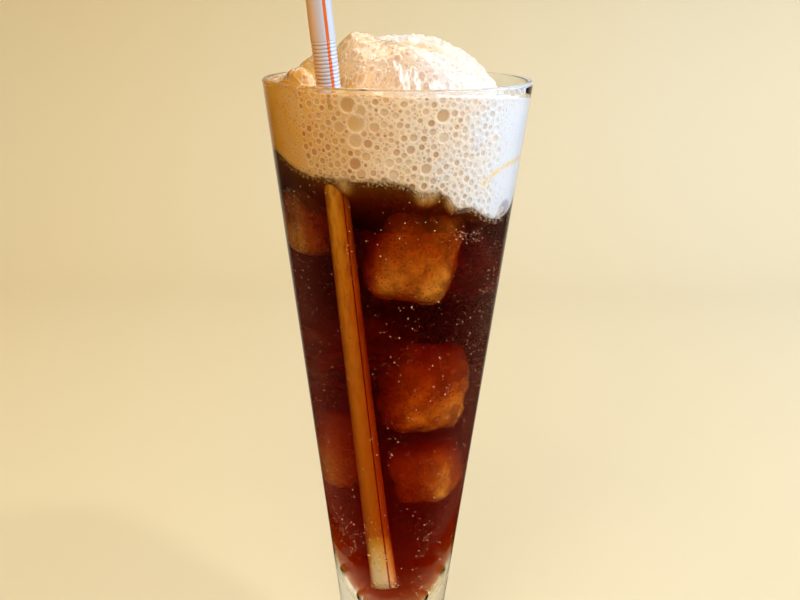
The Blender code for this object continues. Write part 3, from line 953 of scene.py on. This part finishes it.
def makeScoop():
    # an ellipsoid moved along its own ways by crag and grain, less a groove along its top
    way = ballWays(scoopLook["across"], scoopLook["down"])
    points = way * np.array(scoopShape["radii"]) + np.array(scoopShape["centre"])
    bare = 1.0 - skinCover(points[..., 0], points[..., 1])
    crag = layeredNoise(points, scoopLook["cragPitch"], 3, 11)
    ridgePitch = scoopLook["cragPitch"] * scoopLook["ridgePitch"]
    ridge = 1.0 - 2.0 * np.abs(latticeNoise(points, ridgePitch, 31))
    grain = layeredNoise(points, scoopLook["grainPitch"], 2, 17)
    hills, ridges = scoopLook["cragMix"]
    push = scoopLook["crag"] * (hills * crag + ridges * ridge) * bare
    push = push + scoopLook["grain"] * grain * bare
    fromX = points[..., 0] - scoopShape["groovePoint"][0]
    fromY = points[..., 1] - scoopShape["groovePoint"][1]
    wayX, wayY = scoopShape["grooveWay"]
    along = fromX * wayX + fromY * wayY
    off = fromY * wayX - fromX * wayY
    groove = hill(along, scoopShape["grooveLength"]) * hill(off, scoopShape["grooveWidth"])
    groove = groove * (way[..., 2] > 0.0)
    push = push - scoopShape["grooveDepth"] * groove
    shape = wrapGrid(points + way * push[..., None])
    # the groove, read as painted shade by the material
    painted = {"groove": groove.ravel()}
    return makePiece("iceCreamScoop", shape, scoopMaterial(), "ice_cream", "ice_cream", **painted)


def scoopMaterial():
    material, make = newMaterial("vanillaIce")
    point = make.objectPoint()
    patch = make.noise(point, 220.0, 4.0)
    meltAndCreaseShade = make.times(make.range(patch, 0.45, 0.75), 0.22)
    # painted shade: the groove takes the melted patches' beige
    meltAndCreaseShade = make.math("MAXIMUM", meltAndCreaseShade, make.attribute("groove"))
    colour = make.mix(meltAndCreaseShade, scoopLook["colour"], scoopLook["shade"])
    pits = make.times(make.flecks(0.0009, 0.45, 0.15).outputs["Height"], -0.6)
    height = make.math("ADD", pits, patch)
    bump = make.bump(height, 0.8, 0.0006)
    make.softFinish(0.5, 0.25, 0.2, 0.3, 0.002, {"Base Color": colour, "Normal": bump})
    return material


# Straw

strawLook = {
    "sides": 72,
    # painted light: warm tan on the part turned to the left, cool lilac on the part turned to the right
    "left": (0.82, 0.42, 0.16),
    "right": (0.60, 0.72, 1.0),
    "soaked": (0.86, 0.56, 0.04),  # filled with drink below the foam
    "soakedDark": (0.62, 0.32, 0.02),
    "soakedLow": (1.0, 0.86, 0.20),  # and nearer the glass's narrow end
    "lowBetween": (0.150, 0.080),
    "soakedFrom": 0.184,
    "soakedFade": 0.008,
    "tip": (1.0, 0.86, 0.82),  # paler where it nears the glass: painted light
    "tipFrom": 0.066,
    "tipFade": 0.012,
    "stripe": (0.80, 0.16, 0.03),
    "stripeSoaked": (0.42, 0.07, 0.01),
    "stripeAt": 0.825,  # share of the way round
    "stripeWidth": 0.045,
    "stripeSoakedWidth": 0.024,
}


def strawRadius(along):
    # plain tube, less depth times one less the size of a sine to a power, along the bellows
    start = strawShape["bellowsStart"]
    end = start + strawShape["rings"] * strawShape["pitch"]
    inside = (along > start) & (along < end)
    phase = np.abs(np.sin((along - start) / strawShape["pitch"] * math.pi))
    return strawShape["radius"] - np.where(inside, strawShape["depth"] * (1.0 - phase ** 0.6), 0.0)


def fromStraw(points):
    # from the straw's own side, front and up, at right angles to each other, to the glass's
    end = np.array(strawShape["end"])
    up = np.array(strawShape["atRim"]) - end
    up = up / np.linalg.norm(up)
    side = np.cross(up, [0.0, 1.0, 0.0])
    side = side / np.linalg.norm(side)
    return end + points[..., :1] * side + points[..., 1:2] * np.cross(up, side) + points[..., 2:] * up


def makeStraw():
    # outer rings top to bottom, then inner rings bottom to top, on a leaning axis, joined in a loop
    start = strawShape["bellowsStart"] - strawShape["pitch"]
    end = strawShape["bellowsStart"] + (strawShape["rings"] + 1) * strawShape["pitch"]
    along = np.concatenate([
        np.linspace(0.0, start, 60),
        np.linspace(start, end, 8 * (strawShape["rings"] + 2) + 1)[1:],
        np.linspace(end, strawShape["length"], 16)[1:],
    ])
    radius = strawRadius(along)
    rise = np.concatenate([along[::-1], along])
    wide = np.concatenate([radius[::-1], radius - strawShape["wall"]])
    turn = roundAngles(strawLook["sides"])
    rows = fromStraw(ringRows(wide[:, None], rise[:, None], turn[None, :]))
    share = np.tile((turn + math.pi) / (2.0 * math.pi), len(rows))
    shape = wrapGrid(rows, looped=True)
    return makePiece("strawTube", shape, strawMaterial(), "straw", "straw", round=share)


def strawMaterial():
    material, make = newMaterial("milkyStraw")
    point = make.objectPoint()
    around = make.attribute("round")
    away = make.math("ABSOLUTE", make.math("SUBTRACT", around, strawLook["stripeAt"]))
    height = make.add("ShaderNodeSeparateXYZ", links={0: point}).outputs[2]
    start = strawLook["soakedFrom"]
    soaked = make.range(height, start, start - strawLook["soakedFade"])
    width = make.range(soaked, 0.0, 1.0, strawLook["stripeWidth"], strawLook["stripeSoakedWidth"])
    stripe = make.math("LESS_THAN", away, make.times(width, 0.5))
    stretched = make.add("ShaderNodeMapping", {"Scale": (1.0, 1.0, 0.18)}, {"Vector": point}).outputs[0]
    grain = make.noise(stretched, 900.0, 3.0)
    # painted light: the two tones set by the share of the way round
    side = make.range(around, 0.62, 0.82)
    base = make.mix(side, strawLook["left"], strawLook["right"])
    wet = make.mix(make.range(grain, 0.45, 0.65), strawLook["soaked"], strawLook["soakedDark"])
    wet = make.mix(make.range(height, *strawLook["lowBetween"]), wet, strawLook["soakedLow"])
    # painted light: the lower end paler where it nears the glass
    start = strawLook["tipFrom"]
    tip = make.range(height, start, start - strawLook["tipFade"])
    tip = make.times(tip, make.range(grain, 0.40, 0.60, 1.0, 0.55))
    wet = make.mix(tip, wet, strawLook["tip"])
    plain = make.mix(soaked, base, wet)
    band = make.mix(soaked, strawLook["stripe"], strawLook["stripeSoaked"])
    colour = make.mix(stripe, plain, band)
    make.softFinish(0.3, 0.3, 0.1, 0.2, 0.001, {"Base Color": colour})
    return material


# Small bubbles that cling to the glass under the foam

beadLook = {
    "count": 2250,
    "smallest": 0.00006,
    "largest": 0.00024,
    "skew": 1.8,
    "lowest": 0.042,
    "underFoam": 0.001,
    "patchPitch": 0.011,  # how wide the crowded patches are
    "patchMix": (0.5, 0.9, 0.03),  # usual share of beads kept, how far it swings, the least
    # painted highlights on the tiny bubbles: from dark brown to pale
    "dark": (0.45, 0.24, 0.10),
    "light": (0.98, 0.80, 0.62),
    "sizeSpread": 0.00016,  # from the smallest to the largest on the straw and by its tip
    "onStraw": 420,  # beads on the straw, more towards its lower end
    "strawReach": 0.118,  # how far up it they go
    "strawSize": 0.00005,
    "offStraw": 0.00005,
    "byTip": 110,  # beads painted pale, as painted highlights, on the glass where the straw's end nears it
    "tipLine": [  # angle, height
        (-97.0, 0.0496), (-101.0, 0.0548), (-106.0, 0.0664), (-108.0, 0.0720),
    ],
    "tipWidth": 0.0042,
    "tipSize": 0.00007,
    "crowds": [  # specks painted pale as painted highlights: angle, height, half width in degrees, half height, count
        (-136.0, 0.0665, 22.0, 0.0085, 46), (-62.0, 0.0650, 8.0, 0.0110, 16),
        (-152.0, 0.1580, 12.0, 0.0170, 60), (-24.0, 0.1400, 12.0, 0.0240, 80),
        (-50.0, 0.1610, 16.0, 0.0030, 50),
    ],
    "crowdSize": 0.00009,
    "crowdSpread": 0.00010,
    "paleness": 0.75,
}


def beadCloud(centres, sizes):
    # the same small ball, 8 sides by 4 rings, at each centre and size, as one set of arrays
    ball, quads, tris = wrapGrid(ballWays(8, 6))
    points = centres[:, None, :] + ball[None, :, :] * sizes[:, None, None]
    step = (np.arange(len(centres)) * len(ball))[:, None, None]
    quads, tris = quads[None] + step, tris[None] + step
    return points.reshape(-1, 3), quads.reshape(-1, 4), tris.reshape(-1, 3)


def eachBead(values, shape):
    # one value a bead, repeated for all of its points
    return np.repeat(values, len(shape[0]) // len(values))


def onWall(z, angle, sizes, sunk=0.95):
    # centres of balls that touch the inside of the glass, a little sunk in it
    return ringRows(cavityRadius(z) - sizes * sunk, z, angle)


def bothWays(random, count):
    # from -1 to 1, most often near 0
    return random.random(count) + random.random(count) - 1.0


def makeBeads():
    # beads in patches all over the wet wall, more on the straw, and ones painted pale as painted
    # highlights in crowds
    random = np.random.default_rng(5)
    many = beadLook["count"] * 4
    angle = random.random(many) * 2.0 * math.pi - math.pi
    room = foamLine(angle) - beadLook["underFoam"] - beadLook["lowest"]
    z = beadLook["lowest"] + room * random.random(many) ** 0.8
    usual, swing, least = beadLook["patchMix"]
    patches = layeredNoise(onWall(z, angle, 0.0), beadLook["patchPitch"], 2, 9)
    crowd = np.clip(usual + swing * patches, least, 1.0)
    chosen = np.flatnonzero(random.random(many) < crowd)[:beadLook["count"]]
    sizes = spreadSizes(random, beadLook, len(chosen))
    centres = onWall(z[chosen], angle[chosen], sizes)
    count = beadLook["onStraw"]
    along = beadLook["strawReach"] * random.random(count) ** 2.0
    turn = random.random(count) * 2.0 * math.pi
    onStraw = fromStraw(ringRows(strawShape["radius"] + beadLook["offStraw"], along, turn))
    count = beadLook["byTip"]
    turns, heights = zip(*beadLook["tipLine"])
    tipZ = heights[0] + (heights[-1] - heights[0]) * random.random(count) ** 1.7
    narrower = 1.0 - 0.3 * (tipZ - heights[0]) / (heights[-1] - heights[0])
    tipOff = beadLook["tipWidth"] * (2.0 * random.random(count) - 1.0) * narrower
    tipSizes = beadLook["tipSize"] + beadLook["sizeSpread"] * random.random(count) ** 2.0
    tipTurn = np.radians(np.interp(tipZ, heights, turns)) + tipOff / cavityRadius(tipZ)
    byTip = onWall(tipZ, tipTurn, tipSizes)
    crowdCentres, crowdSizes = [], []
    for turn, up, halfTurn, halfHigh, count in beadLook["crowds"]:
        crowdTurn = np.radians(turn + halfTurn * bothWays(random, count))
        crowdZ = up + halfHigh * bothWays(random, count)
        size = beadLook["crowdSize"] + beadLook["crowdSpread"] * random.random(count) ** 2.0
        crowdCentres.append(onWall(crowdZ, crowdTurn, size))
        crowdSizes.append(size)
    strawSizes = beadLook["strawSize"] + beadLook["sizeSpread"] * random.random(len(onStraw)) ** 2.5
    plain = len(centres) + len(onStraw)
    centres = np.concatenate([centres, onStraw, byTip] + crowdCentres)
    sizes = np.concatenate([sizes, strawSizes, tipSizes] + crowdSizes)
    pale = np.where(np.arange(len(centres)) < plain, 0.0, beadLook["paleness"])
    shape = beadCloud(centres, sizes)
    material, make = newMaterial("beadSkin")
    # painted highlights: fine noise between dark and pale, full pale where painted so
    grain = make.noise(make.objectPoint(), 900.0, 2.0)
    lightness = make.math("MAXIMUM", make.range(grain, 0.42, 0.60), make.attribute("pale"))
    colour = make.mix(lightness, beadLook["dark"], beadLook["light"])
    make.finish({"Roughness": 0.15}, {"Base Color": colour})
    return makePiece("wallBeads", shape, material, "drink", pale=eachBead(pale, shape))


frothLook = {
    "count": 2300,
    "smallest": 0.00010,
    "largest": 0.00034,
    "skew": 1.9,
    "reach": 0.0016,  # how far the froth hangs under the foam's edge
    "brown": 0.55,
    "brownest": 0.9,
}


def makeFroth():
    # small bubbles that hang under the foam's lower edge, crowded close to it
    random = np.random.default_rng(13)
    count = frothLook["count"]
    sizes = spreadSizes(random, frothLook)
    angle = random.random(count) * 2.0 * math.pi - math.pi
    drop = random.random(count) ** 2.5
    z = foamLine(angle) + 0.0002 - frothLook["reach"] * drop
    shape = beadCloud(onWall(z, angle, sizes, 0.9), sizes)
    brown = frothLook["brown"] + (frothLook["brownest"] - frothLook["brown"]) * drop
    material = foamMaterial("frothSkin", "atGlass", 0.0, 0.0, 0.3, 0.3)
    return makePiece("foamFroth", shape, material, "foam", under=eachBead(brown, shape))


glintLook = {
    "count": 700,
    "smallest": 0.00011,
    "largest": 0.00050,
    "skew": 2.2,
    "sunk": 0.60,
    "within": 0.0335,
    "pastScoop": 0.0265,  # out here all is foam
    "paintedWhiteShare": 0.60,  # how many are painted white as painted glints
}


def makeGlints():
    # wet bubbles half sunk in the foam's upper surface, most painted white as painted glints
    random = np.random.default_rng(31)
    count = glintLook["count"]
    sizes = spreadSizes(random, glintLook)
    turn = random.random(count) * 2.0 * math.pi
    out = glintLook["within"] * np.sqrt(random.random(count))
    x = out * np.cos(turn)
    y = out * np.sin(turn)
    paintedWhite = np.where(random.random(count) < glintLook["paintedWhiteShare"], 1.0, 0.0)
    onFoam = (foamTop(x, y) > scoopTop(x, y)) | (np.hypot(x, y) > glintLook["pastScoop"])
    x, y, sizes, paintedWhite = x[onFoam], y[onFoam], sizes[onFoam], paintedWhite[onFoam]
    centres = np.stack([x, y, crownHeight(x, y) - glintLook["sunk"] * sizes], axis=-1)
    shape = beadCloud(centres, sizes)
    material = foamMaterial("wetBubblesAndPaintedGlints", "onTop", 0.0, 0.0, 0.12, 1.0)
    return makePiece("foamGlints", shape, material, "foam", glint=eachBead(paintedWhite, shape))


for make in (
    makeGlass, makeDrink, makeIceClouds, makeFoamBand, makeFoamTop,
    makeScoop, makeStraw, makeBeads, makeFroth, makeGlints,
):
    piece = make()
    print(piece.name, "made,", len(piece.data.polygons), "faces")


# Floor, lights and camera

stageLook = {
    "left": (0.75, 0.63, 0.38),
    "right": (0.71, 0.66, 0.50),
    "between": (-0.25, 0.30),  # where the one goes over into the other
    "near": -1.5,
    "back": 0.75,
    "curve": 0.25,
    "high": 1.4,
    "wide": 1.8,
}


def makeStage():
    # a floor that curves up into a wall: straight, a quarter circle, straight
    turn = np.linspace(0.0, math.pi / 2, 24)
    back, curve = stageLook["back"], stageLook["curve"]
    y = np.concatenate([[stageLook["near"]], back - curve + curve * np.sin(turn), [back]])
    z = np.concatenate([[0.0], curve * (1.0 - np.cos(turn)), [stageLook["high"]]])
    left = np.stack([np.full_like(y, -stageLook["wide"]), y, z], axis=-1)
    right = np.stack([np.full_like(y, stageLook["wide"]), y, z], axis=-1)
    count = len(y)
    number = np.arange(count - 1)
    quads = np.stack([number, number + count, number + count + 1, number + 1], axis=-1)
    stage = meshPiece("stageFloor", np.concatenate([left, right]), quads)
    material, make = newMaterial("paleFloor")
    point = make.objectPoint()
    across = make.add("ShaderNodeSeparateXYZ", links={0: point}).outputs[0]
    across = make.math("ADD", across, make.times(make.noise(point, 6.0, 2.0), 0.05))
    colour = make.mix(make.range(across, *stageLook["between"]), stageLook["left"], stageLook["right"])
    make.finish({"Roughness": 0.6}, {"Base Color": colour})
    stage.data.materials.append(material)
    stage.visible_glossy = False  # the dark drink doesn't mirror the pale floor


def softLamp(name, place, aim, size, power, colour, mirrored=True):
    # a rectangle of light at a place, turned to face its aim
    light = bpy.data.lights.new(name, "AREA")
    light.shape = "RECTANGLE"
    light.size, light.size_y = size
    light.energy = power
    light.color = colour
    lamp = bpy.data.objects.new(name, light)
    bpy.context.scene.collection.objects.link(lamp)
    lamp.location = place
    lamp.rotation_euler = (Vector(aim) - Vector(place)).to_track_quat("-Z", "Y").to_euler()
    lamp.visible_glossy = mirrored


viewShape = {
    "place": (0.00134, -0.3079, 0.2244),
    "pitch": 16.04,  # degrees down
    "roll": 0.66,
    "focal": 1091.0,  # in pixels of the 800 wide picture
}


def makeCamera():
    camera = bpy.data.cameras.new("camera")
    camera.sensor_width = 36.0
    camera.lens = viewShape["focal"] / 800.0 * camera.sensor_width
    camera.clip_start = 0.01
    holder = bpy.data.objects.new("camera", camera)
    bpy.context.scene.collection.objects.link(holder)
    pitch = math.radians(viewShape["pitch"])
    roll = math.radians(viewShape["roll"])
    tilt = Matrix.Rotation(math.pi / 2 - pitch, 4, "X") @ Matrix.Rotation(roll, 4, "Z")
    holder.matrix_world = Matrix.Translation(viewShape["place"]) @ tilt
    bpy.context.scene.camera = holder


skyLook = {
    "left": (0.48, 0.33, 0.17),
    "right": (0.33, 0.35, 0.38),
    "lowNear": (0.020, 0.008, 0.003),  # what the glass mirrors from below: dark towards the camera,
    "lowFar": (0.62, 0.52, 0.36),  # and as pale as the floor away from it
    "lowBetween": (0.80, 0.98),
    "pastFloor": (0.62, 0.55, 0.41),  # seen past the floor's edge, in views from the side
}


def makeSky():
    # left to right high up, near to far low down, and one colour where the camera sees past the floor
    world = bpy.data.worlds.new("world")
    bpy.context.scene.world = world
    world.use_nodes = True
    sky = Nodes(world.node_tree)
    place = sky.add("ShaderNodeTexCoord").outputs["Generated"]
    way = sky.add("ShaderNodeSeparateXYZ", links={0: place})
    high = sky.mix(sky.range(way.outputs[0], -0.7, 0.7), skyLook["left"], skyLook["right"])
    away = sky.range(way.outputs[1], *skyLook["lowBetween"])
    low = sky.mix(away, skyLook["lowNear"], skyLook["lowFar"])
    dome = sky.mix(sky.range(way.outputs[2], 0.02, 0.6), low, high)
    straight = sky.add("ShaderNodeLightPath").outputs["Is Camera Ray"]
    dome = sky.mix(straight, dome, skyLook["pastFloor"])
    light = sky.add("ShaderNodeBackground", links={"Color": dome})
    sky.add("ShaderNodeOutputWorld", links={"Surface": light.outputs[0]})


makeStage()
softLamp("keyRight", (1.15, 0.05, 0.62), (0.0, 0.0, 0.14), (0.5, 0.8), 10.5, (0.90, 0.95, 1.0))
softLamp("sparkle", (0.55, -0.35, 0.95), (0.0, 0.0, 0.20), (0.08, 0.08), 2.0, (1.0, 0.98, 0.95))
softLamp("frontHigh", (-0.15, -0.85, 0.90), (0.0, 0.0, 0.14), (0.8, 0.5), 6.8, (1.0, 0.93, 0.82), False)
softLamp("topBack", (0.0, 0.35, 1.0), (0.0, 0.2, 0.1), (0.9, 0.5), 3.2, (1.0, 0.97, 0.92))
makeCamera()
makeSky()
print("floor, lights and camera placed")

settings = bpy.context.scene.cycles
settings.max_bounces = 20
settings.transmission_bounces = 20
settings.transparent_max_bounces = 40
settings.use_denoising = True
bpy.context.scene.view_settings.view_transform = "Standard"
